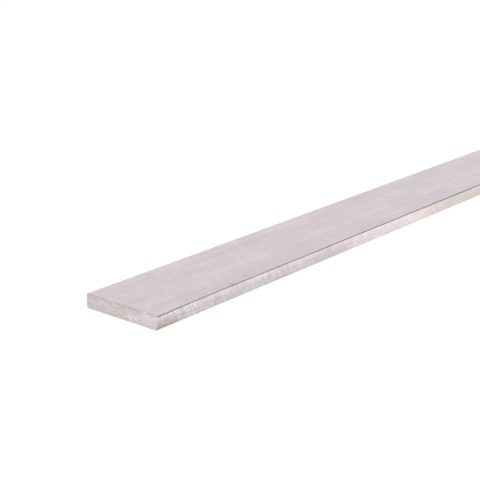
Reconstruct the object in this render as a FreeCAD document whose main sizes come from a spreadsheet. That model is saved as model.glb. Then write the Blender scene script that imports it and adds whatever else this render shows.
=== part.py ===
import FreeCAD, Part
import math
import os
import Sketcher

# Flat bar: one length of plain rectangular stock with finely rounded long edges,
# sawn square at both ends, with the sawn edges broken by a small chamfer.
# Frame: X along the bar, Y across its width, Z up through its thickness.
# The origin is the centre of the underside. Millimetres.

SIZES = {
    "bar_length": (500.0, "length between the two sawn ends"),
    "bar_width": (50.0, "width of the section"),
    "bar_thickness": (8.0, "thickness of the section"),
    "top_edge_radius": (0.5, "rounding of the two long edges of the upper face"),
    "bottom_edge_radius": (1.2, "rounding of the two long edges of the underside"),
    "end_chamfer": (0.3, "broken edge all round each sawn end"),
}

# The broken edge stays within the rounding that it runs over.
CHAMFER_SHARE_OF_RADIUS = 0.9

QUARTER_TURN = math.pi / 2
SQUARE_TOLERANCE = 1e-6

# How a sketch constraint names the Y axis, the origin and the two ends of a line or arc.
HORIZONTAL_AXIS = -1
ORIGIN_POINT = 1
START, END = 1, 2


def make_sheet(doc):
    """The driving dimensions, one row each: what it is, its value, and what it measures."""
    sheet = doc.addObject("Spreadsheet::Sheet", "sizes")
    for row, (name, (value, meaning)) in enumerate(SIZES.items(), start=1):
        sheet.set(f"A{row}", name)
        sheet.set(f"B{row}", str(value))
        sheet.set(f"C{row}", meaning)
        sheet.setAlias(f"B{row}", name)
    doc.recompute()
    return sheet


def origin_plane(body, role):
    return next(plane for plane in body.Origin.OriginFeatures if plane.Role == role)


def add_section(body, sheet):
    """The cross-section in the YZ plane: a rectangle that stands on the Y axis, centred on Z,
    whose corners are arcs, smaller at the top than at the bottom."""
    sketch = body.newObject("Sketcher::SketchObject", "section")
    sketch.AttachmentSupport = [(origin_plane(body, "YZ_Plane"), "")]
    sketch.MapMode = "FlatFace"

    half = sheet.bar_width / 2
    top = sheet.bar_thickness
    upper = sheet.top_edge_radius
    lower = sheet.bottom_edge_radius
    vector = FreeCAD.Vector

    def line(y1, z1, y2, z2):
        return sketch.addGeometry(Part.LineSegment(vector(y1, z1, 0), vector(y2, z2, 0)))

    def corner(y, z, radius, first_quarter):
        circle = Part.Circle(vector(y, z, 0), vector(0, 0, 1), radius)
        start = first_quarter * QUARTER_TURN
        return sketch.addGeometry(Part.ArcOfCircle(circle, start, start + QUARTER_TURN))

    underside = line(-half + lower, 0, half - lower, 0)
    back_bottom = corner(half - lower, lower, lower, 3)
    back = line(half, lower, half, top - upper)
    back_top = corner(half - upper, top - upper, upper, 0)
    upper_face = line(half - upper, top, -half + upper, top)
    front_top = corner(-half + upper, top - upper, upper, 1)
    front = line(-half, top - upper, -half, lower)
    front_bottom = corner(-half + lower, lower, lower, 2)
    outline = [underside, back_bottom, back, back_top, upper_face, front_top, front, front_bottom]

    def constrain(kind, *where):
        return sketch.addConstraint(Sketcher.Constraint(kind, *where))

    def drive(constraint, name, expression):
        sketch.renameConstraint(constraint, name)
        sketch.setExpression(f"Constraints.{name}", expression)

    # The outline runs anticlockwise, and each piece flows smoothly into the next.
    for piece, following in zip(outline, outline[1:] + outline[:1]):
        constrain("Tangent", piece, END, following, START)
    for level in (underside, upper_face):
        constrain("Horizontal", level)
    for upright in (back, front):
        constrain("Vertical", upright)
    constrain("Equal", back_top, front_top)
    constrain("Equal", back_bottom, front_bottom)
    constrain("PointOnObject", underside, START, HORIZONTAL_AXIS)

    drive(constrain("Radius", back_top, upper), "top_radius", "sizes.top_edge_radius")
    drive(constrain("Radius", back_bottom, lower), "bottom_radius", "sizes.bottom_edge_radius")
    drive(
        constrain("DistanceX", HORIZONTAL_AXIS, ORIGIN_POINT, back, START, half),
        "half_width",
        "sizes.bar_width / 2",
    )
    drive(
        constrain("DistanceX", front, END, back, START, 2 * half),
        "full_width",
        "sizes.bar_width",
    )
    drive(
        constrain("DistanceY", HORIZONTAL_AXIS, ORIGIN_POINT, upper_face, START, top),
        "thickness",
        "sizes.bar_thickness",
    )
    return sketch


def make_flat_bar(doc, sheet):
    """The section is drawn out along X to both sides of its plane, then each end's edge is broken."""
    body = doc.addObject("PartDesign::Body", "flat_bar")
    body.Label = "flat_bar"
    section = add_section(body, sheet)

    bar = body.newObject("PartDesign::Pad", "drawn_bar")
    bar.Profile = section
    bar.Midplane = True
    bar.setExpression("Length", "sizes.bar_length")
    doc.recompute()

    broken_edge = body.newObject("PartDesign::Chamfer", "broken_end_edges")
    broken_edge.Base = (bar, end_faces(bar.Shape))
    broken_edge.setExpression(
        "Size",
        "min(sizes.end_chamfer; "
        f"{CHAMFER_SHARE_OF_RADIUS} * min(sizes.top_edge_radius; sizes.bottom_edge_radius))",
    )
    body.Placement = FreeCAD.Placement()
    doc.recompute()
    return body


def end_faces(shape):
    """The names of the two faces square to X."""
    names = []
    for number, face in enumerate(shape.Faces, start=1):
        flat = isinstance(face.Surface, Part.Plane)
        if flat and abs(abs(face.normalAt(0, 0).x) - 1) < SQUARE_TOLERANCE:
            names.append(f"Face{number}")
    return names


def check(doc, bodies):
    for item in doc.Objects:
        if "Invalid" in item.State or "Error" in item.State:
            raise RuntimeError(f"{item.Name} failed: {item.State}")
    for body in bodies:
        if body.Shape.isNull() or not body.Shape.isValid():
            raise RuntimeError(f"{body.Label} has no valid shape")
        if len(body.Shape.Solids) != 1:
            raise RuntimeError(f"{body.Label} should be one solid")


def main():
    doc = FreeCAD.newDocument("metal_flat_bar")
    sheet = make_sheet(doc)
    bodies = [make_flat_bar(doc, sheet)]
    doc.recompute()
    check(doc, bodies)
    os.makedirs("parts", exist_ok=True)
    for body in bodies:
        body.Shape.exportStep(os.path.join("parts", f"{body.Label}.step"))
        box = body.Shape.BoundBox
        print(
            f"{body.Label}: {box.XLength:.3f} x {box.YLength:.3f} x {box.ZLength:.3f} mm, "
            f"volume {body.Shape.Volume:.1f} mm3"
        )


main()
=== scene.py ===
# The looks of one length of flat bar: two rolled faces with a long grain, two long edges with
# patches and upright marks, and two sawn ends. Lengths are metres in the frame of the packed
# part: X runs along the bar from its near end, Y from its front edge to its back, and Z up.

import math
from collections import namedtuple

import bpy
import numpy as np
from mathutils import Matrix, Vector
from mathutils.geometry import delaunay_2d_cdt


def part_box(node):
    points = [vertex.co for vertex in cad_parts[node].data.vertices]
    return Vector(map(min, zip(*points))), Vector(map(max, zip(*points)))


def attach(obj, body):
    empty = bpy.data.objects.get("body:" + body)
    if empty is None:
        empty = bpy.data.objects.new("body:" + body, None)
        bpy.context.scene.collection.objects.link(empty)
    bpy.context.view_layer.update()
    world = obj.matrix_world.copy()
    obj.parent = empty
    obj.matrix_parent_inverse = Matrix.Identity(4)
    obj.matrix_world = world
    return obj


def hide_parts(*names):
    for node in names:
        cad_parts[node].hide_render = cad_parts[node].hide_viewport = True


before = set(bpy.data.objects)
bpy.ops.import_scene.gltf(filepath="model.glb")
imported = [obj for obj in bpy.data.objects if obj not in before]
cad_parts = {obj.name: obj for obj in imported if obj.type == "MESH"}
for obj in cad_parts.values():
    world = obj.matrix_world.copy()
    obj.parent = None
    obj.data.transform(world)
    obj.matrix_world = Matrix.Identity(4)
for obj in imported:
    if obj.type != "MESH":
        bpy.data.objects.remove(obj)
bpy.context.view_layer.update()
BAR_LOW, BAR_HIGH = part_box("flat_bar")
LENGTH, WIDTH, THICKNESS = BAR_HIGH - BAR_LOW
HALF_LENGTH, HALF_WIDTH = LENGTH / 2, WIDTH / 2

MM = 0.001

# Edges of the solid: the roundings along the bar and the broken edge round each sawn end.
TOP_EDGE_RADIUS = 0.5 * MM
BOTTOM_EDGE_RADIUS = 1.2 * MM
END_CHAMFER = 0.3 * MM

# Camera: the eye is placed from the near front corner of the underside, which is BAR_LOW. It
# looks along a heading that turns from +X towards +Y, and down by the pitch.
EYE_FROM_CORNER = Vector((-404.54, -389.62, 227.54)) * MM
HEADING_DEG = 39.75
PITCH_DEG = 17.84
LENS_MM = 91.65
SENSOR_MM = 36.0
CLIP_FROM = 0.01
CLIP_TO = 100

# Mesh: spacing of the vertices along the bar, round its section and within a sawn end. A guard
# row keeps the shading of a rounding off the flat beside it.
FINE_STEP = 0.38 * MM
COARSE_STEPS = 4
SIDE_REACH = HALF_LENGTH - 2 * END_CHAMFER
UPPER_ROW = 1.0 * MM
UNDER_ROW = 2.0 * MM
EDGE_ROW = 0.65 * MM
GUARD = 0.12 * MM
ARC_ROWS = 5
SAWN_STEP = 0.33 * MM
SAWN_MARGIN = END_CHAMFER + 0.5 * SAWN_STEP

# A sawn end is filled with triangles inside its border, where points this near count as one.
TRIANGLES_INSIDE = 1
SAME_PLACE = 1e-9

# The rings of vertices over the broken edge at an end: how far each lies from the end and inside
# the section, as shares of the chamfer, and how strong the burr's colour is there.
END_RINGS = ((1.0, 0.0, 0.3), (0.4, 0.4, 1.0), (0.0, 1.0, 0.6))
END_WOBBLE = 0.25
END_WOBBLE_LENGTH = 2.5 * MM

# The two ends, as the sign of their place along the bar, with the seeds of each one's broken
# edge and sawn face.
NEAR, FAR = -1, 1
END_SEEDS = ((NEAR, 31, 36), (FAR, 41, 46))

# Relief: depths are all cut inwards, so the bar stays inside its true size. A pair of lengths is
# the size of one wave, dent or mark, along the bar and across it.
ROLLED_WAVE_DEPTH = 0.012 * MM
ROLLED_WAVE = (60 * MM, 3 * MM)
EDGE_DENT_DEPTH = 0.035 * MM
EDGE_DENT = (3.1 * MM, 1.3 * MM)
NO_DENT_BELOW = 0.2
STRIATION_DEPTH = 0.030 * MM
STRIATION_PITCH = 2.6 * MM
STRIATION_LEAN = 0.4
BROAD_STRIATION = (0.5 * STRIATION_PITCH, 9 * MM)
NARROW_STRIATION = (0.2 * STRIATION_PITCH, 5 * MM)
NARROW_SHARE = 0.3
STRIATION_DRIFT = 0.5
DRIFT_LENGTH = 11 * MM

# What is left of a long edge's dents and marks on its roundings.
ROUNDED_DENTS = 0.5
ROUNDED_MARKS = 0.3

# The marks through the thickness are strong beside the sawn ends and faint away from them.
STRIATED_END = 22 * MM
STRIATED_FADE = 45 * MM
FAINT_STRIATION = 0.35

# The saw left arcs round a centre below the bar: fine ones from its teeth and wider steps, each
# with its size across the arcs and along them. They wander, and are stronger in patches.
SAW_CENTRE = (30 * MM, -246 * MM)
SAW_RADIUS = 250 * MM
SAW_MARK_DEPTH = 0.045 * MM
SAW_MARK_PITCH = 1.1 * MM
SAW_TEETH = (0.5 * SAW_MARK_PITCH, 10 * MM)
SAW_STEPS = (1.9 * SAW_MARK_PITCH, 16 * MM)
STEPS_SHARE = 0.4
SAW_WANDER = 0.6
SAW_WANDER_SIZE = 7 * MM
SAW_PATCH = (5 * MM, 4 * MM)
SAW_PATCH_SHARE = 0.25

# Gouges in the near end, cut into the relief, whose bright colour is a painted highlight: place
# across and up, size, lean in degrees, and strength.
GOUGES = (
    ((-6.4 * MM, 2.5 * MM), (1.7 * MM, 0.55 * MM), 33, 1.0),
    ((-9.9 * MM, 3.0 * MM), (1.8 * MM, 0.55 * MM), 12, 0.7),
)
GOUGE_DEPTH = 0.06 * MM

# The map that the finish is baked through covers a square of this side, with a margin and gaps.
MAP_SIDE = HALF_LENGTH + 2.5 * MM
MAP_MARGIN = 0.8 * MM
MAP_GAP = 4 * MM

# Studio: a lit white table, one wide light straight above, and walls with a level for each
# height, from 0 at the horizon to 1 overhead. They are white up to the middle and dark above it.
FLOOR_HALF_SIDE = 40.0
FLOOR_ALBEDO = 0.12
FLOOR_GLOW = 0.88
WORLD_STRENGTH = 1.2
WALL_HEIGHTS = (0.0, 0.25, 0.40, 0.50, 0.62, 1.0)
WALL_LEVELS = (0.84, 0.90, 1.05, 0.85, 0.30, 0.22)
OVERHEAD_STRENGTH = 1.9
OVERHEAD_WIDTH_DEG = 60

# Base colours, in linear light.
ROLLED_COOL = (0.634, 0.576, 0.620)
ROLLED_WARM = (0.684, 0.586, 0.610)
EDGE_PALE = (0.756, 0.722, 0.736)
EDGE_BROWN = (0.735, 0.658, 0.664)
# The next colour is that of the painted dark reflection along the long edges, and of the dark spots
# in the upper face.
EDGE_LINE = (0.255, 0.196, 0.203)
SAWN_OLIVE = (0.616, 0.555, 0.536)
SAWN_LAVENDER = (0.602, 0.535, 0.553)
SAWN_BRIGHT = (0.740, 0.668, 0.704)
# The gouges' bright colour, a painted highlight.
GOUGE_HIGHLIGHT = (0.900, 0.840, 0.830)
OCHRE = (0.640, 0.520, 0.330)
RUST = (0.330, 0.250, 0.160)

# Colours that the base colours are multiplied by.
PLAIN = (1.0, 1.0, 1.0)
ROSY = (1.00, 0.962, 0.988)
BROWNER = (0.990, 0.988, 0.952)
WARM = (0.992, 0.982, 0.932)
# A tint of painted shade for the near front corner's foot.
SHADED = (0.79, 0.775, 0.79)
# A tint of painted shade for the rounded foot of the long edges.
FOOT_SHADE = (0.845, 0.850, 0.825)
DIRTY = (0.83, 0.805, 0.67)
BURR = (0.774, 0.710, 0.734)
SAWN_FOOT = (0.945, 0.948, 0.905)
BLUISH = (0.980, 0.995, 1.030)
YELLOWISH = (1.000, 1.000, 0.962)

# Noise lies around 0.5. It is read between two levels: the nearer they are, the harder its borders.
SOFT = (0.25, 0.75)
MEDIUM = (0.30, 0.70)
HARD = (0.35, 0.65)

# A spot's solid core, and how far its uneven outline wanders, as shares of its size.
SPOT_CORE = 0.3
SPOT_UNEVEN = 0.5

# Wide faces. Scratches, scuffs and specks come in between two levels of their noise, which are
# followed by the tones there.
SCRATCHED = (0.72, 0.80, 1, 0.90)
SCUFFED = (0.74, 0.82, 1, 1.10)
SPECKED = (0.79, 0.84, 1, 0.78)
SCRATCH_TURN_DEG = 7
SCUFF_TURN_DEG = -4
HUE_LEVELS = (0.33, 0.67)
ROLLED_ROUGHNESS = (0.33, 0.42)
ROLLED_BUMP = 0.006 * MM

# The wide faces grow duller along the bar, between these places and tones.
DULLER_ALONG = (-HALF_LENGTH, 0.4 * HALF_LENGTH)
DULLER_TONES = (0.980, 0.928)

# At the near end they are paler beside the front edge and darker behind, where the darkening is
# painted shade. It fades between these distances from the end and swings between these places from
# front to back.
NEAR_END_LENGTH = (8 * MM, 26 * MM)
NEAR_END_ACROSS = (-0.8 * HALF_WIDTH, 0.4 * HALF_WIDTH)
NEAR_END_PALE_AND_SHADE = (0.040, -0.042)

# Small dark spots in the upper face: distances from the near end and the front edge, and size.
DARK_SPOTS = (
    (59.6 * MM, 2.0 * MM, 1.3 * MM),
    (58.9 * MM, 3.8 * MM, 0.8 * MM),
    (73.4 * MM, 4.8 * MM, 1.0 * MM),
)
DARK_SPOT_STRENGTH = 0.8

# Long edges. Their marks are fainter around the middle of the bar, and gain their full strength
# between these distances from it.
FULL_FROM = (50 * MM, 180 * MM)
MIDDLE_STRENGTH = 0.62
MIDDLE_STREAKS = 0.40
EDGE_ROUGHNESS = (0.32, 0.44)
EDGE_BUMP = 0.010 * MM

# Their rounded foot is darker with painted shade, and stops being so between these heights.
FOOT_SHADE_HEIGHT = (0.6 * MM, 1.4 * MM)

# Their lower part is duller, partly in its own finish and partly with painted shade, below an
# uneven border given in shares of the height. It grows duller still between these distances from
# the middle of the bar.
DULL_SHADE_BORDER = (0.45, 0.85)
DULL_SHADE_UNEVEN = 0.12
DULL_SHADE_FROM = (30 * MM, 120 * MM)
DULL_SHADE_SWING = (-0.035, -0.13)

# The dark line is a painted dark reflection along the upper rounding.
# Their dark line, as depths below the upper face where it starts and stops. It lies lower and is
# wider at the near end, widens again along the bar, and stops at the broken edges.
LINE_FROM = (0.06 * MM, 0.16 * MM)
LINE_TO = (0.44 * MM, 0.56 * MM)
LINE_UNEVEN = 0.06 * MM
LINE_LOWERED = 0.22 * MM
LINE_RISES = (5 * MM, 32 * MM)
LINE_WIDE = 0.28 * MM
LINE_NARROWS = (3 * MM, 26 * MM)
LINE_WIDER = 0.22 * MM
LINE_WIDENS = (60 * MM, 260 * MM)
LINE_STOPS = (HALF_LENGTH - END_CHAMFER, HALF_LENGTH - 0.5 * END_CHAMFER)

# How their finish changes along the bar, each time between two distances from the near end.
# Where it turns rosy their brown patches grow fainter, and they are browner below these heights.
ROSY_FROM = (40 * MM, 105 * MM)
BROWN_PATCHES = (0.5, 0.175)
BROWNER_HEIGHT = (1.2 * MM, 4.5 * MM)
BRIGHT_FROM = (148 * MM, 175 * MM)
BRIGHT_TO = (228 * MM, 268 * MM)
BRIGHT_TONE = 1.13
WARM_TO = (330 * MM, 400 * MM)

# Stretches of them with a tint of their own: from and to, as distances from the near end, and
# the tint. Their borders are soft and uneven.
WASHES = (
    (11 * MM, 28 * MM, (0.970, 0.975, 0.970)),
    (38 * MM, 50 * MM, (1.060, 1.015, 1.025)),
    (55 * MM, 63 * MM, (0.975, 0.965, 0.970)),
    (72 * MM, 82 * MM, (1.020, 1.040, 1.030)),
    (98 * MM, 133 * MM, (1.085, 1.070, 1.075)),
    (140 * MM, 148 * MM, (0.955, 0.955, 0.950)),
    (264 * MM, 276 * MM, (1.075, 1.075, 1.080)),
)
WASH_BORDER = 5 * MM

# The foot of the near front corner has painted shade and dirt, by distance from the near end, by
# height and by place across. At the corner itself the painted shade stands lower, and it rises from
# there.
SHADE_AND_DIRT_LENGTH = (10 * MM, 19 * MM)
SHADED_HEIGHT = (3.0 * MM, 6.6 * MM)
DIRTY_HEIGHT = (1.3 * MM, 2.7 * MM)
SHADE_AND_DIRT_ACROSS = (3 * MM - HALF_WIDTH, 6 * MM - HALF_WIDTH)
LEAST_SHADE_AND_DIRT = 0.7
CORNER_LOWERED = 2.0 * MM
CORNER_RISES = (1 * MM, 7 * MM)

# Flecks of rust in the dirty foot: distance from the near end, height, size and colour.
FLECKS = ((8.3 * MM, 1.7 * MM, 0.7 * MM, OCHRE), (5.6 * MM, 1.5 * MM, 1.0 * MM, RUST))
FLECK_STRENGTH = 0.6

# The burr's colour comes in between these heights, and is fainter in front of these places.
BURR_HEIGHT = (THICKNESS - 1.2 * MM, THICKNESS - 0.6 * MM)
BURR_ACROSS = (-20 * MM, -8 * MM)
FRONT_BURR = 0.45

# Sawn ends. The saw's marks are paler on their ridges and darker in their hollows.
MARK_TONES = (1.26, 0.74)
SAWN_ROUGHNESS = (0.36, 0.46)
SAWN_BUMP = 0.010 * MM

# An end is duller in a band along its upper edge, which comes in between these heights.
RIM_HEIGHT = (THICKNESS - 2.0 * MM, THICKNESS - 0.9 * MM)
RIM_TONE = 0.915

# It grows paler towards the front between these places, and its foot is yellower there.
PALER_ACROSS = (6 * MM, -20 * MM)
PALEST = 0.85
PALE_UNEVEN = 0.2
SAWN_FOOT_HEIGHT = (0.8 * MM, 3.6 * MM)

# Slots of the bar's materials, the values that its vertices hand to them, and the value of a
# mark where there is none.
ROLLED, EDGE, SAWN = range(3)
MASKS = ("burr", "mark", "bright")
NO_MARK = 0.5

# A row of vertices along the bar: its place in the section, the way out of the surface, its
# place round the section, the surface that it lies on, and whether its spacing is fine.
Row = namedtuple("Row", "y z out_y out_z girth part fine")

# Smooth noise repeats after this many of its lumps.
NOISE_TABLE = 256


def smooth_noise(x, y, seed):
    """Random numbers on a unit grid, smoothly joined: from -1 to 1 at each (x, y)."""
    numbers = np.random.default_rng(seed).uniform(-1, 1, (NOISE_TABLE, NOISE_TABLE))
    x, y = np.broadcast_arrays(np.asarray(x, float), np.asarray(y, float))
    column, line = np.floor(x).astype(int), np.floor(y).astype(int)
    across, along = x - column, y - line
    across = across * across * (3 - 2 * across)
    along = along * along * (3 - 2 * along)

    def at(i, j):
        return numbers[(column + i) % NOISE_TABLE, (line + j) % NOISE_TABLE]

    low = at(0, 0) * (1 - across) + at(1, 0) * across
    high = at(0, 1) * (1 - across) + at(1, 1) * across
    return low * (1 - along) + high * along


def positive(value):
    """A value from -1 to 1, brought between 0 and 1."""
    return 0.5 + 0.5 * value


def ease(value, start, stop):
    """From 0 at start to 1 at stop, with a soft beginning and end."""
    share = np.clip((np.asarray(value, float) - start) / (stop - start), 0, 1)
    return share * share * (3 - 2 * share)


def section_rows():
    """The rows of vertices that run along the bar, in order round its section, seen from +X."""
    top = THICKNESS
    low, high = BOTTOM_EDGE_RADIUS, TOP_EDGE_RADIUS
    rows, girth = [], 0.0

    def flat(y1, z1, y2, z2, out, step, part, fine):
        """Rows along a straight stretch of the outline, from one point of it to another."""
        nonlocal girth
        length = math.hypot(y2 - y1, z2 - z1)
        between = np.linspace(GUARD, length - GUARD, round(length / step))
        for distance in (0.0, *between):
            share = distance / length
            place = y1 + (y2 - y1) * share, z1 + (z2 - z1) * share
            rows.append(Row(*place, *out, girth + distance, part, fine))
        girth += length

    def arc(y, z, radius, first_deg):
        """Rows round a quarter circle, given by its centre, radius and first direction."""
        nonlocal girth
        for i in range(ARC_ROWS):
            turn = math.radians(90 * i / ARC_ROWS)
            out = math.cos(math.radians(first_deg) + turn), math.sin(math.radians(first_deg) + turn)
            place = y + radius * out[0], z + radius * out[1]
            rows.append(Row(*place, *out, girth + radius * turn, "arc", True))
        girth += radius * math.pi / 2

    flat(-HALF_WIDTH + low, 0, HALF_WIDTH - low, 0, (0, -1), UNDER_ROW, "under", False)
    arc(HALF_WIDTH - low, low, low, -90)
    flat(HALF_WIDTH, low, HALF_WIDTH, top - high, (1, 0), EDGE_ROW, "edge", True)
    arc(HALF_WIDTH - high, top - high, high, 0)
    flat(HALF_WIDTH - high, top, -HALF_WIDTH + high, top, (0, 1), UPPER_ROW, "upper", False)
    arc(-HALF_WIDTH + high, top - high, high, 90)
    flat(-HALF_WIDTH, top - high, -HALF_WIDTH, low, (-1, 0), EDGE_ROW, "edge", True)
    arc(-HALF_WIDTH + low, low, low, 180)
    return rows, girth


def stations(fine):
    """Places along the bar where a row has vertices, short of the broken edges at its ends."""
    count = round(SIDE_REACH / FINE_STEP / COARSE_STEPS) * COARSE_STEPS * 2
    places = np.linspace(-SIDE_REACH, SIDE_REACH, count + 1)
    return places if fine else places[::COARSE_STEPS]


def striations(x, row):
    """Strength of the marks that run through the thickness of a long edge, from 0 to 1."""
    leaning = x + STRIATION_LEAN * row.z
    drift = STRIATION_DRIFT * smooth_noise(x / DRIFT_LENGTH, y=0.5, seed=11)
    length, height = BROAD_STRIATION
    broad = smooth_noise(leaning / length + drift, row.z / height, seed=12)
    length, height = NARROW_STRIATION
    narrow = smooth_noise(leaning / length, row.z / height, seed=14)
    from_end = HALF_LENGTH - abs(x)
    strength = 1 - (1 - FAINT_STRIATION) * ease(from_end, STRIATED_END, STRIATED_FADE)
    return positive(strength * ((1 - NARROW_SHARE) * broad + NARROW_SHARE * narrow))


def relief(x, row):
    """How far each vertex of a row lies inside the true surface."""
    if row.part in ("upper", "under"):
        length, width = ROLLED_WAVE
        wave = smooth_noise(x / length, row.girth / width, seed=21)
        return ROLLED_WAVE_DEPTH * positive(wave)
    length, width = EDGE_DENT
    dents = smooth_noise(x / length, row.girth / width, seed=22)
    dents = EDGE_DENT_DEPTH * np.clip(dents - NO_DENT_BELOW, 0, 1)
    marks = STRIATION_DEPTH * striations(x, row)
    if row.part == "arc":
        return ROUNDED_DENTS * dents + ROUNDED_MARKS * marks
    return dents + marks


def stitch(lower, upper, x_of):
    """Faces between two neighbouring rows of vertices, whose spacing may differ."""
    if len(lower) == len(upper):
        return [
            (lower[i], upper[i], upper[i + 1], lower[i + 1]) for i in range(len(lower) - 1)
        ]
    faces, i, j = [], 0, 0
    while i < len(lower) - 1 or j < len(upper) - 1:
        next_low = x_of[lower[i + 1]] if i < len(lower) - 1 else math.inf
        next_high = x_of[upper[j + 1]] if j < len(upper) - 1 else math.inf
        if next_low <= next_high:
            faces.append((lower[i], upper[j], lower[i + 1]))
            i += 1
        else:
            faces.append((lower[i], upper[j], upper[j + 1]))
            j += 1
    return faces


def saw_marks(y, z, seed):
    """Strength of the marks that the saw left on an end, as wide arcs across it, from 0 to 1."""
    across = np.hypot(y - SAW_CENTRE[0], z - SAW_CENTRE[1]) - SAW_RADIUS
    wander = SAW_WANDER * smooth_noise(y / SAW_WANDER_SIZE, z / SAW_WANDER_SIZE, seed)
    pitch, length = SAW_TEETH
    teeth = smooth_noise(across / pitch + wander, y / length, seed + 1)
    pitch, length = SAW_STEPS
    steps = smooth_noise(across / pitch + wander, y / length, seed + 2)
    width, height = SAW_PATCH
    patches = smooth_noise(y / width, z / height, seed + 3)
    strength = 1 - SAW_PATCH_SHARE + SAW_PATCH_SHARE * patches
    return positive(strength * ((1 - STEPS_SHARE) * teeth + STEPS_SHARE * steps))


def gouged(y, z):
    """Strength of the bright gouges in the near end, from 0 to 1."""
    deepest = np.zeros_like(y)
    for place, size, lean_deg, strength in GOUGES:
        lean = math.radians(lean_deg)
        away_y, away_z = y - place[0], z - place[1]
        along = (away_y * math.cos(lean) + away_z * math.sin(lean)) / size[0]
        across = (away_z * math.cos(lean) - away_y * math.sin(lean)) / size[1]
        deepest = np.maximum(deepest, strength * np.exp(-(along**2) - across**2))
    return deepest


def inside_section(y, z, margin):
    """Whether a point of the section lies at least margin inside its outline."""
    radius = TOP_EDGE_RADIUS if z > THICKNESS / 2 else BOTTOM_EDGE_RADIUS
    from_side = HALF_WIDTH - abs(y)
    from_level = min(z, THICKNESS - z)
    if from_side < margin or from_level < margin:
        return False
    if from_side < radius and from_level < radius:
        return math.hypot(radius - from_side, radius - from_level) < radius - margin
    return True


def points_within():
    """The places inside a sawn end, in rows that are set half a step off their neighbours."""
    for line, z in enumerate(np.arange(0, THICKNESS, SAWN_STEP)):
        shift = 0.5 * SAWN_STEP * (line % 2)
        for y in np.arange(-HALF_WIDTH, HALF_WIDTH, SAWN_STEP) + shift:
            if inside_section(y, z, SAWN_MARGIN):
                yield y, z


class Skin:
    """The vertices and faces of the bar, with the values that its materials and its map read."""

    def __init__(self):
        self.vertices, self.masks, self.laid = [], [], []
        self.faces, self.slots = [], []

    def add_vertices(self, places, masks, laid):
        """Laid is where each vertex comes to lie when the skin is unrolled: along and girth."""
        first = len(self.vertices)
        self.vertices.extend(places)
        self.masks.extend(masks)
        self.laid.extend(laid)
        return list(range(first, len(self.vertices)))

    def add_faces(self, faces, slot):
        """Faces that share one material, each with its corners in order, seen from outside."""
        self.faces.extend(faces)
        self.slots.extend([slot] * len(faces))


def add_sides(skin, rows):
    """The skin along the bar. Returns the line of vertices on each row."""
    lines = []
    for row in rows:
        x = stations(row.fine)
        depth = relief(x, row)
        places = zip(x, row.y - depth * row.out_y, row.z - depth * row.out_z)
        marks = striations(x, row) if row.fine else np.zeros_like(x)
        masks = [(0, mark, 0) for mark in marks]
        lines.append(skin.add_vertices(places, masks, [(abs(place), row.girth) for place in x]))
    x_of = [place[0] for place in skin.vertices]
    for row, lower, upper in zip(rows, lines, lines[1:] + lines[:1]):
        slot = ROLLED if row.part in ("upper", "under") else EDGE
        skin.add_faces(stitch(lower, upper, x_of), slot)
    return lines


def add_broken_edge(skin, rows, lines, side, seed):
    """The broken edge at one end of the bar. Returns its ring of vertices round the sawn face."""
    girths = np.array([row.girth for row in rows])
    wobble = smooth_noise(girths / END_WOBBLE_LENGTH, seed, seed)
    chamfers = END_CHAMFER * (1 + END_WOBBLE * wobble)
    ring = [line[0 if side == NEAR else -1] for line in lines]
    for from_end, inset, burr in END_RINGS:
        places, masks, laid = [], [], []
        for row, chamfer in zip(rows, chamfers):
            inwards = inset * chamfer
            x = side * (HALF_LENGTH - from_end * chamfer)
            places.append((x, row.y - inwards * row.out_y, row.z - inwards * row.out_z))
            masks.append((burr, NO_MARK, 0))
            laid.append((abs(x) + inwards, row.girth))
        fresh = skin.add_vertices(places, masks, laid)
        for i in range(len(ring)):
            j = (i + 1) % len(ring)
            quad = (ring[i], ring[j], fresh[j], fresh[i])
            skin.add_faces([quad if side == FAR else quad[::-1]], EDGE)
        ring = fresh
    return ring


def add_sawn_face(skin, ring, side, seed):
    """The sawn face inside a ring of vertices, with a fine mesh that carries the saw's marks."""
    y, z = np.array(list(points_within())).T
    none = np.zeros_like(y)
    marks = saw_marks(-side * y, z, seed)
    bright = gouged(y, z) if side == NEAR else none
    depth = SAW_MARK_DEPTH * marks + GOUGE_DEPTH * bright
    places = zip(side * (HALF_LENGTH - depth), y, z)
    inner = skin.add_vertices(places, zip(none, marks, bright), zip(none, none))
    known = ring + inner
    flat = [Vector(skin.vertices[i][1:]) for i in known]
    border = list(range(len(ring)))
    made = delaunay_2d_cdt(flat, [], [border], TRIANGLES_INSIDE, SAME_PLACE)
    faces, sources = made[2], made[3]
    for face in faces:
        corners = tuple(known[sources[i][0]] for i in face)
        skin.add_faces([corners if side == FAR else corners[::-1]], SAWN)


def add_bake_map(mesh, skin, whole_girth):
    """The map that the finish is baked through. The bar is cut in two at its middle and each
    half is unrolled, the far one above the near one, with the two sawn ends above both."""
    corner_vertex = np.empty(len(mesh.loops), int)
    mesh.loops.foreach_get("vertex_index", corner_vertex)
    first_corner = np.empty(len(mesh.polygons), int)
    mesh.polygons.foreach_get("loop_start", first_corner)
    corners = np.diff(np.append(first_corner, len(mesh.loops)))
    face = np.repeat(np.arange(len(corners)), corners)

    x, y, z = np.array(skin.vertices)[corner_vertex].T
    along, girth = np.array(skin.laid)[corner_vertex].T
    far = (np.add.reduceat(x, first_corner) > 0)[face]
    highest = np.maximum.reduceat(girth, first_corner)[face]
    girth = np.where(highest - girth > whole_girth / 2, girth + whole_girth, girth)
    strip = whole_girth + MAP_GAP
    sawn = np.array(skin.slots)[face] == SAWN
    across = np.where(sawn, y + HALF_WIDTH + far * (WIDTH + MAP_GAP), along)
    upwards = np.where(sawn, z + 2 * strip, girth + far * strip)

    layer = mesh.uv_layers.new(name="OFBake")
    places = np.stack([across + MAP_MARGIN, upwards + MAP_MARGIN], 1) / MAP_SIDE
    layer.data.foreach_set("uv", places.ravel())


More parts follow.
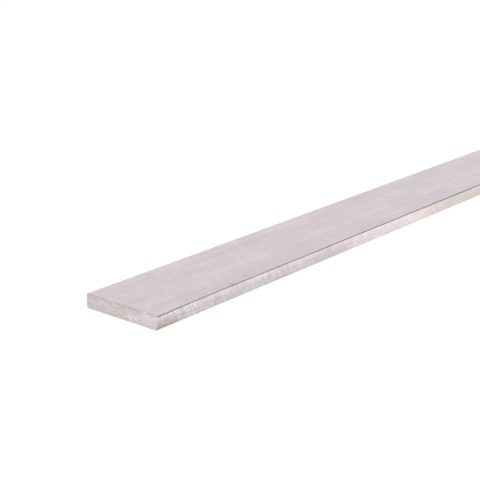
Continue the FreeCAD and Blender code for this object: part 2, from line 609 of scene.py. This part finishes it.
def make_bar():
    """The whole bar as one closed mesh, which has the solid's outline and a fine relief."""
    rows, whole_girth = section_rows()
    skin = Skin()
    lines = add_sides(skin, rows)
    for side, edge_seed, face_seed in END_SEEDS:
        ring = add_broken_edge(skin, rows, lines, side, edge_seed)
        add_sawn_face(skin, ring, side, face_seed)

    mesh = bpy.data.meshes.new("flat_bar_finish")
    mesh.from_pydata(skin.vertices, [], skin.faces)
    mesh.polygons.foreach_set("material_index", skin.slots)
    mesh.polygons.foreach_set("use_smooth", [True] * len(skin.faces))
    for column, name in enumerate(MASKS):
        layer = mesh.attributes.new(name, "FLOAT", "POINT")
        layer.data.foreach_set("value", [values[column] for values in skin.masks])
    add_bake_map(mesh, skin, whole_girth)
    mesh.update()
    bar = bpy.data.objects.new("flat_bar_finish", mesh)
    bpy.context.scene.collection.objects.link(bar)
    return bar


class Graph:
    """The nodes of one procedural metal, with short names for making them."""

    def __init__(self, name):
        self.material = bpy.data.materials.new(name)
        self.material.use_nodes = True
        self.nodes = self.material.node_tree.nodes
        self.links = self.material.node_tree.links
        self.shader = self.nodes["Principled BSDF"]
        self.shader.inputs["Metallic"].default_value = 1
        self.place = self.nodes.new("ShaderNodeTexCoord").outputs["Object"]
        apart = self.nodes.new("ShaderNodeSeparateXYZ")
        self.links.new(self.place, apart.inputs[0])
        self.x, self.y, self.z = apart.outputs

    def feed(self, socket, value):
        """Sets a socket to a number or colour, or links another node's output to it."""
        if isinstance(value, bpy.types.NodeSocket):
            self.links.new(value, socket)
        else:
            socket.default_value = value

    def point(self, x, y, z):
        """A place put together from three values."""
        together = self.nodes.new("ShaderNodeCombineXYZ")
        for socket, value in zip(together.inputs, (x, y, z)):
            self.feed(socket, value)
        return together.outputs[0]

    def from_near_end(self):
        """The distance from the bar's near end."""
        return self.maths("ADD", self.x, HALF_LENGTH)

    def leaning(self, lean):
        """The place on the bar, with upright lines leaning against the bar's direction."""
        shifted = self.maths("ADD", self.x, self.maths("MULTIPLY", self.z, lean))
        return self.point(shifted, self.y, self.z)

    def turned(self, angle_deg):
        """The place on the bar, turned about the upright axis."""
        mapping = self.nodes.new("ShaderNodeMapping")
        self.links.new(self.place, mapping.inputs["Vector"])
        mapping.inputs["Rotation"].default_value = (0, 0, math.radians(angle_deg))
        return mapping.outputs["Vector"]

    def distance(self, place, centre):
        """The distance between a place and a fixed one."""
        node = self.nodes.new("ShaderNodeVectorMath")
        node.operation = "DISTANCE"
        self.links.new(place, node.inputs[0])
        node.inputs[1].default_value = centre
        return node.outputs["Value"]

    def along_saw_marks(self):
        """The place on a sawn end, as the distance across the saw's arcs and along them."""
        along = self.product([self.y, self.maths("SIGN", self.x), -1.0])
        centre = (SAW_CENTRE[0], 0, SAW_CENTRE[1])
        return self.point(self.distance(self.point(along, 0.0, self.z), centre), along, 0.0)

    def spot(self, centre, size, uneven):
        """From 1 at a small spot to 0 outside it. Its outline follows an uneven value."""
        wander = SPOT_UNEVEN * size
        reach = self.remap(uneven, *MEDIUM, -wander, wander)
        reach = self.maths("ADD", reach, self.distance(self.place, centre))
        return self.remap(reach, SPOT_CORE * size, size, 1, 0, soft=True)

    def noise(self, size, detail, roughness=0.5, shift=0.0, place=None):
        """Noise from 0 to 1 whose lumps measure size = (along, across, through) in metres."""
        mapping = self.nodes.new("ShaderNodeMapping")
        self.links.new(place or self.place, mapping.inputs["Vector"])
        mapping.inputs["Scale"].default_value = [1 / length for length in size]
        mapping.inputs["Location"].default_value = (shift, 2 * shift, 3 * shift)
        texture = self.nodes.new("ShaderNodeTexNoise")
        self.links.new(mapping.outputs["Vector"], texture.inputs["Vector"])
        texture.inputs["Scale"].default_value = 1
        texture.inputs["Detail"].default_value = detail
        texture.inputs["Roughness"].default_value = roughness
        return texture.outputs["Fac"]

    def mask(self, name):
        """One of the values that the bar's vertices carry."""
        node = self.nodes.new("ShaderNodeAttribute")
        node.attribute_name = name
        return node.outputs["Fac"]

    def maths(self, operation, a, b=0.0):
        """One sum, difference, product or other operation on one or two values."""
        node = self.nodes.new("ShaderNodeMath")
        node.operation = operation
        self.feed(node.inputs[0], a)
        self.feed(node.inputs[1], b)
        return node.outputs[0]

    def remap(self, value, low, high, to_low=0.0, to_high=1.0, soft=False):
        """From to_low where the value is low to to_high where it is high, and level beyond."""
        node = self.nodes.new("ShaderNodeMapRange")
        node.interpolation_type = "SMOOTHSTEP" if soft else "LINEAR"
        self.links.new(value, node.inputs["Value"])
        ends = {"From Min": low, "From Max": high, "To Min": to_low, "To Max": to_high}
        for name, number in ends.items():
            node.inputs[name].default_value = number
        return node.outputs["Result"]

    def tone(self, noise, swing, strength=1.0):
        """A factor near 1 that follows a noise, by at most swing either way."""
        swung = self.maths("MULTIPLY", self.remap(noise, *SOFT, -swing, swing), strength)
        return self.maths("ADD", swung, 1.0)

    def product(self, factors):
        """All the factors multiplied together."""
        result = factors[0]
        for factor in factors[1:]:
            result = self.maths("MULTIPLY", result, factor)
        return result

    def blend(self, share, a, b, kind="MIX"):
        """Colour a, with a share from 0 to 1 of colour b mixed in."""
        node = self.nodes.new("ShaderNodeMix")
        node.data_type = "RGBA"
        node.blend_type = kind
        self.feed(node.inputs["Factor"], share)
        for socket, colour in ((node.inputs["A"], a), (node.inputs["B"], b)):
            self.feed(socket, (*colour, 1) if isinstance(colour, tuple) else colour)
        return node.outputs["Result"]

    def toned(self, colour, tone):
        """A colour multiplied by a factor or by another colour."""
        return self.blend(1.0, colour, tone, "MULTIPLY")

    def tinted(self, colour, share, tint):
        """A colour multiplied by a tint, as far as the share goes from 0 to 1."""
        return self.toned(colour, self.blend(share, PLAIN, tint))

    def finish(self, colour, roughness, height, depth):
        """The material, with a bump whose height from 0 to 1 stands for a depth in metres."""
        self.links.new(colour, self.shader.inputs["Base Color"])
        self.links.new(roughness, self.shader.inputs["Roughness"])
        bump = self.nodes.new("ShaderNodeBump")
        bump.inputs["Distance"].default_value = depth
        self.links.new(height, bump.inputs["Height"])
        self.links.new(bump.outputs["Normal"], self.shader.inputs["Normal"])
        return self.material


def rolled_steel():
    """The two wide faces: a smooth, pale, faintly banded skin with its grain along the bar."""
    graph = Graph("rolled_steel")
    grain = graph.noise((30 * MM, 0.32 * MM, 3 * MM), detail=4, roughness=0.7)
    streaks = graph.noise((110 * MM, 2.2 * MM, 4 * MM), detail=3, roughness=0.6, shift=1)
    bands = graph.noise((400 * MM, 8 * MM, 5 * MM), detail=2, shift=3)
    clouds = graph.noise((38 * MM, 14 * MM, 9 * MM), detail=3, roughness=0.55, shift=7)
    mottle = graph.noise((4.2 * MM, 2.8 * MM, 5 * MM), detail=4, roughness=0.72, shift=5)
    specks = graph.noise((0.9 * MM, 0.8 * MM, 2 * MM), detail=1, shift=13)
    hues = graph.noise((70 * MM, 40 * MM, 9 * MM), detail=2, shift=26)
    turned = graph.turned(SCRATCH_TURN_DEG)
    scratches = graph.noise((16 * MM, 0.22 * MM, 3 * MM), detail=1, shift=11, place=turned)
    turned = graph.turned(SCUFF_TURN_DEG)
    scuffs = graph.noise((22 * MM, 0.3 * MM, 3 * MM), detail=1, shift=15, place=turned)
    tone = graph.product([
        graph.tone(grain, swing=0.10),
        graph.tone(streaks, swing=0.05),
        graph.tone(bands, swing=0.05),
        graph.tone(clouds, swing=0.05),
        graph.tone(mottle, swing=0.13),
        graph.remap(scratches, *SCRATCHED),
        graph.remap(scuffs, *SCUFFED),
        graph.remap(specks, *SPECKED),
        graph.remap(graph.x, *DULLER_ALONG, *DULLER_TONES),
        near_end_paler_and_shaded(graph),
    ])
    hue = graph.remap(hues, *HUE_LEVELS)
    colour = graph.toned(graph.blend(hue, ROLLED_COOL, ROLLED_WARM), tone)
    for from_end, from_front, size in DARK_SPOTS:
        centre = (-HALF_LENGTH + from_end, -HALF_WIDTH + from_front, THICKNESS)
        dark_spot = graph.maths("MULTIPLY", graph.spot(centre, size, specks), DARK_SPOT_STRENGTH)
        colour = graph.blend(dark_spot, colour, EDGE_LINE)
    rough = graph.remap(mottle, *MEDIUM, *ROLLED_ROUGHNESS)
    return graph.finish(colour, rough, grain, ROLLED_BUMP)


def near_end_paler_and_shaded(graph):
    """At the near end the wide faces are paler beside the front edge and darker behind, with
    painted shade.
    """
    near = graph.remap(graph.from_near_end(), *NEAR_END_LENGTH, 1, 0, soft=True)
    swing = graph.remap(graph.y, *NEAR_END_ACROSS, *NEAR_END_PALE_AND_SHADE)
    return graph.maths("ADD", graph.maths("MULTIPLY", near, swing), 1.0)


def edge_steel():
    """The long edges: patchy, with upright streaks, palest near the top over partly painted shade
    below, and a painted dark reflection as a line above.
    """
    graph = Graph("edge_steel")
    leaning = graph.leaning(STRIATION_LEAN)
    patches = graph.noise((22 * MM, 22 * MM, 14 * MM), detail=2, shift=2)
    lumps = graph.noise((6 * MM, 6 * MM, 7 * MM), detail=2, shift=4, place=leaning)
    streaks = graph.noise(
        (0.65 * MM, 4 * MM, 5.5 * MM), detail=3, roughness=0.65, shift=9, place=leaning
    )
    blotches = graph.noise((1.2 * MM, 2 * MM, 1.3 * MM), detail=3, roughness=0.65, shift=6)
    seams = graph.noise((14 * MM, 9 * MM, 0.9 * MM), detail=3, roughness=0.6, shift=18)
    tints = graph.noise((7 * MM, 7 * MM, 4 * MM), detail=4, roughness=0.65, shift=12)
    from_middle = graph.maths("ABSOLUTE", graph.x)
    strength = graph.remap(from_middle, *FULL_FROM, MIDDLE_STRENGTH, 1.0, soft=True)
    streaked = graph.remap(from_middle, *FULL_FROM, MIDDLE_STREAKS, 1.0, soft=True)
    tone = graph.product([
        graph.tone(patches, swing=0.15, strength=strength),
        graph.tone(lumps, swing=0.08, strength=strength),
        graph.tone(streaks, swing=0.17, strength=streaked),
        graph.tone(blotches, swing=0.16, strength=strength),
        graph.tone(seams, swing=0.09, strength=strength),
        graph.tone(graph.mask("mark"), swing=0.07, strength=strength),
        # Partly painted shade on the lower half.
        dull_and_shaded_below(graph, lumps, from_middle),
    ])
    colour = graph.blend(brown_share(graph, patches), EDGE_PALE, EDGE_BROWN)
    colour = graph.toned(colour, graph.blend(graph.remap(tints, *MEDIUM), BLUISH, YELLOWISH))
    colour = graph.toned(colour, tone)
    colour = along_the_bar(graph, colour)
    colour = washed(graph, colour, lumps)
    # Painted shade on the rounded foot.
    foot = graph.remap(graph.z, *FOOT_SHADE_HEIGHT, 1, 0, soft=True)
    colour = graph.tinted(colour, foot, FOOT_SHADE)
    colour = shaded_dirty_foot(graph, colour, blotches)
    colour = graph.tinted(colour, burr_share(graph), BURR)
    # A painted dark reflection along the upper rounding.
    colour = graph.blend(painted_reflection_line(graph, blotches), colour, EDGE_LINE)
    rough = graph.remap(lumps, *SOFT, *EDGE_ROUGHNESS)
    return graph.finish(colour, rough, streaks, EDGE_BUMP)


def dull_and_shaded_below(graph, lumps, from_middle):
    """The tone of the lower half of a long edge, partly its own and partly painted shade, with an
    uneven border, duller towards the ends.
    """
    uneven = graph.remap(lumps, *SOFT, -DULL_SHADE_UNEVEN, DULL_SHADE_UNEVEN)
    height = graph.maths("ADD", graph.remap(graph.z, 0, THICKNESS), uneven)
    low = graph.remap(height, *DULL_SHADE_BORDER, 1.0, 0.0, soft=True)
    swing = graph.remap(from_middle, *DULL_SHADE_FROM, *DULL_SHADE_SWING, soft=True)
    return graph.maths("ADD", graph.maths("MULTIPLY", low, swing), 1.0)


def brown_share(graph, patches):
    """How brown a long edge is, in patches that are clear at the near end and fainter beyond."""
    swing = graph.remap(graph.from_near_end(), *ROSY_FROM, *BROWN_PATCHES, soft=True)
    share = graph.maths("MULTIPLY", graph.remap(patches, *HARD, -1, 1), swing)
    return graph.maths("ADD", share, 0.5)


def along_the_bar(graph, colour):
    """The long edges turn rosier, and browner below, then brighter, then warm for a stretch."""
    from_end = graph.from_near_end()
    rosy = graph.remap(from_end, *ROSY_FROM, soft=True)
    bright_from = graph.remap(from_end, *BRIGHT_FROM, soft=True)
    bright_to = graph.remap(from_end, *BRIGHT_TO, soft=True)
    warm_to = graph.remap(from_end, *WARM_TO, soft=True)
    bright = graph.maths("SUBTRACT", bright_from, bright_to)
    low = graph.remap(graph.z, *BROWNER_HEIGHT, 1, 0, soft=True)
    browner = graph.product([rosy, low, graph.remap(bright, 0, 1, 1, 0)])
    colour = graph.tinted(colour, rosy, ROSY)
    colour = graph.tinted(colour, browner, BROWNER)
    colour = graph.tinted(colour, graph.maths("SUBTRACT", bright_to, warm_to), WARM)
    return graph.toned(colour, graph.remap(bright, 0, 1, 1.0, BRIGHT_TONE))


def washed(graph, colour, lumps):
    """The stretches of the long edges that have a tint of their own."""
    uneven = graph.remap(lumps, *SOFT, -WASH_BORDER, WASH_BORDER)
    place = graph.maths("ADD", graph.from_near_end(), uneven)
    for start, stop, tint in WASHES:
        begun = graph.remap(place, start - WASH_BORDER, start + WASH_BORDER, soft=True)
        ended = graph.remap(place, stop - WASH_BORDER, stop + WASH_BORDER, 1, 0, soft=True)
        colour = graph.tinted(colour, graph.product([begun, ended]), tint)
    return colour


def shaded_dirty_foot(graph, colour, blotches):
    """The near front corner's foot: painted shade up to two thirds, browner with dirt below, with
    some rust.
    """
    from_end = graph.from_near_end()
    along = graph.remap(from_end, *SHADE_AND_DIRT_LENGTH, 1, 0, soft=True)
    front = graph.remap(graph.y, *SHADE_AND_DIRT_ACROSS, 1, 0)
    patchy = graph.remap(blotches, *HARD, LEAST_SHADE_AND_DIRT, 1.0)
    lowered = graph.remap(from_end, *CORNER_RISES, CORNER_LOWERED, 0)
    shaded = graph.remap(graph.maths("ADD", graph.z, lowered), *SHADED_HEIGHT, 1, 0)
    dirty = graph.remap(graph.z, *DIRTY_HEIGHT, 1, 0, soft=True)
    # Painted shade first, then the dirt.
    for low, tint in ((shaded, SHADED), (dirty, DIRTY)):
        colour = graph.tinted(colour, graph.product([along, front, patchy, low]), tint)
    for distance, height, size, fleck_colour in FLECKS:
        centre = (-HALF_LENGTH + distance, -HALF_WIDTH, height)
        fleck = graph.maths("MULTIPLY", graph.spot(centre, size, blotches), FLECK_STRENGTH)
        colour = graph.blend(fleck, colour, fleck_colour)
    return colour


def burr_share(graph):
    """The broken edge above a sawn end is darker, but less so towards the front corner."""
    upper = graph.remap(graph.z, *BURR_HEIGHT)
    back = graph.remap(graph.y, *BURR_ACROSS, FRONT_BURR, 1.0, soft=True)
    return graph.product([graph.mask("burr"), upper, back])


def painted_reflection_line(graph, uneven):
    """The dark line along each long edge, just below the upper face, with an uneven lower side: a
    painted dark reflection along the upper rounding.
    """
    from_end = graph.from_near_end()
    lowered = graph.remap(from_end, *LINE_RISES, LINE_LOWERED, 0)
    below = graph.maths("SUBTRACT", graph.maths("SUBTRACT", THICKNESS, graph.z), lowered)
    wider = graph.remap(uneven, *MEDIUM, -LINE_UNEVEN, LINE_UNEVEN)
    for where, first, last in ((LINE_NARROWS, LINE_WIDE, 0), (LINE_WIDENS, 0, LINE_WIDER)):
        wider = graph.maths("ADD", wider, graph.remap(from_end, *where, first, last, soft=True))
    upper = graph.remap(below, *LINE_FROM, 0, 1, soft=True)
    lower = graph.remap(graph.maths("SUBTRACT", below, wider), *LINE_TO, 1, 0, soft=True)
    inside = graph.remap(graph.maths("ABSOLUTE", graph.x), *LINE_STOPS, 1, 0)
    return graph.product([upper, lower, inside])


def sawn_steel():
    """The two ends: duller, with the marks of the saw, and paler towards the front."""
    graph = Graph("sawn_steel")
    arcs = graph.along_saw_marks()
    clouds = graph.noise((5 * MM, 8 * MM, 3.5 * MM), detail=3, roughness=0.55, shift=4)
    tints = graph.noise((5 * MM, 11 * MM, 4 * MM), detail=3, roughness=0.6, shift=8)
    pits = graph.noise((1 * MM, 1.3 * MM, 0.8 * MM), detail=3, roughness=0.65, shift=6)
    scores = graph.noise((0.28 * MM, 9 * MM, 1), detail=3, roughness=0.7, shift=2, place=arcs)
    tone = graph.product([
        graph.tone(clouds, swing=0.11),
        graph.remap(graph.mask("mark"), 0, 1, *MARK_TONES),
        graph.tone(pits, swing=0.14),
        graph.tone(scores, swing=0.20),
        graph.remap(graph.z, *RIM_HEIGHT, 1.0, RIM_TONE, soft=True),
    ])
    paler = graph.remap(graph.y, *PALER_ACROSS, 0, PALEST, soft=True)
    paler = graph.maths("ADD", paler, graph.remap(clouds, *SOFT, -PALE_UNEVEN, PALE_UNEVEN))
    paler = graph.maths("MAXIMUM", paler, 0.0)
    low = graph.remap(graph.z, *SAWN_FOOT_HEIGHT, 1, 0, soft=True)
    colour = graph.blend(graph.remap(tints, *HARD), SAWN_OLIVE, SAWN_LAVENDER)
    colour = graph.blend(paler, colour, SAWN_BRIGHT)
    colour = graph.tinted(colour, graph.product([paler, low]), SAWN_FOOT)
    colour = graph.toned(colour, tone)
    # A painted highlight in the gouges.
    colour = graph.blend(graph.mask("bright"), colour, GOUGE_HIGHLIGHT)
    rough = graph.remap(clouds, *SOFT, *SAWN_ROUGHNESS)
    return graph.finish(colour, rough, scores, SAWN_BUMP)


def add_camera():
    """The camera, at the viewing angle of the photograph."""
    camera = bpy.data.objects.new("camera", bpy.data.cameras.new("camera"))
    camera.data.lens = LENS_MM
    camera.data.sensor_width = SENSOR_MM
    camera.data.clip_start = CLIP_FROM
    camera.data.clip_end = CLIP_TO
    camera.location = BAR_LOW + EYE_FROM_CORNER
    tilt, heading = math.radians(90 - PITCH_DEG), math.radians(HEADING_DEG - 90)
    camera.rotation_euler = (tilt, 0, heading)
    bpy.context.scene.collection.objects.link(camera)
    bpy.context.scene.camera = camera


def add_floor():
    """A white table under the bar, which glows by itself and takes a faint shadow."""
    side = FLOOR_HALF_SIDE
    mesh = bpy.data.meshes.new("floor")
    corners = [(-side, -side, 0), (side, -side, 0), (side, side, 0), (-side, side, 0)]
    mesh.from_pydata(corners, [], [(0, 1, 2, 3)])
    floor = bpy.data.objects.new("floor", mesh)
    bpy.context.scene.collection.objects.link(floor)
    floor.location.z = BAR_LOW.z
    material = bpy.data.materials.new("white_floor")
    material.use_nodes = True
    nodes, links = material.node_tree.nodes, material.node_tree.links
    nodes.clear()
    out = nodes.new("ShaderNodeOutputMaterial")
    diffuse = nodes.new("ShaderNodeBsdfDiffuse")
    diffuse.inputs["Color"].default_value = (FLOOR_ALBEDO,) * 3 + (1,)
    glow = nodes.new("ShaderNodeEmission")
    glow.inputs["Strength"].default_value = FLOOR_GLOW
    both = nodes.new("ShaderNodeAddShader")
    links.new(diffuse.outputs[0], both.inputs[0])
    links.new(glow.outputs[0], both.inputs[1])
    links.new(both.outputs[0], out.inputs["Surface"])
    mesh.materials.append(material)


def add_world():
    """The walls of the studio, as light that depends on the height that it comes from."""
    world = bpy.data.worlds.new("studio")
    bpy.context.scene.world = world
    world.use_nodes = True
    nodes, links = world.node_tree.nodes, world.node_tree.links
    nodes.clear()
    out = nodes.new("ShaderNodeOutputWorld")
    background = nodes.new("ShaderNodeBackground")
    background.inputs["Strength"].default_value = WORLD_STRENGTH
    ramp = nodes.new("ShaderNodeValToRGB")
    split = nodes.new("ShaderNodeSeparateXYZ")
    where = nodes.new("ShaderNodeTexCoord")
    links.new(where.outputs["Generated"], split.inputs[0])
    links.new(split.outputs["Z"], ramp.inputs["Fac"])
    links.new(ramp.outputs["Color"], background.inputs["Color"])
    links.new(background.outputs[0], out.inputs["Surface"])
    stops = ramp.color_ramp.elements
    for height in WALL_HEIGHTS[1:-1]:
        stops.new(height)
    for stop, level in zip(stops, WALL_LEVELS):
        stop.color = (level, level, level, 1)


def add_overhead():
    """One wide light that shines straight down."""
    sun = bpy.data.objects.new("overhead", bpy.data.lights.new("overhead", "SUN"))
    sun.data.energy = OVERHEAD_STRENGTH
    sun.data.angle = math.radians(OVERHEAD_WIDTH_DEG)
    bpy.context.scene.collection.objects.link(sun)


add_camera()
add_floor()
add_world()
add_overhead()
bpy.context.scene.view_settings.view_transform = "Standard"

bar = make_bar()
for material in (rolled_steel(), edge_steel(), sawn_steel()):
    bar.data.materials.append(material)
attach(bar, "root")
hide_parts("flat_bar")
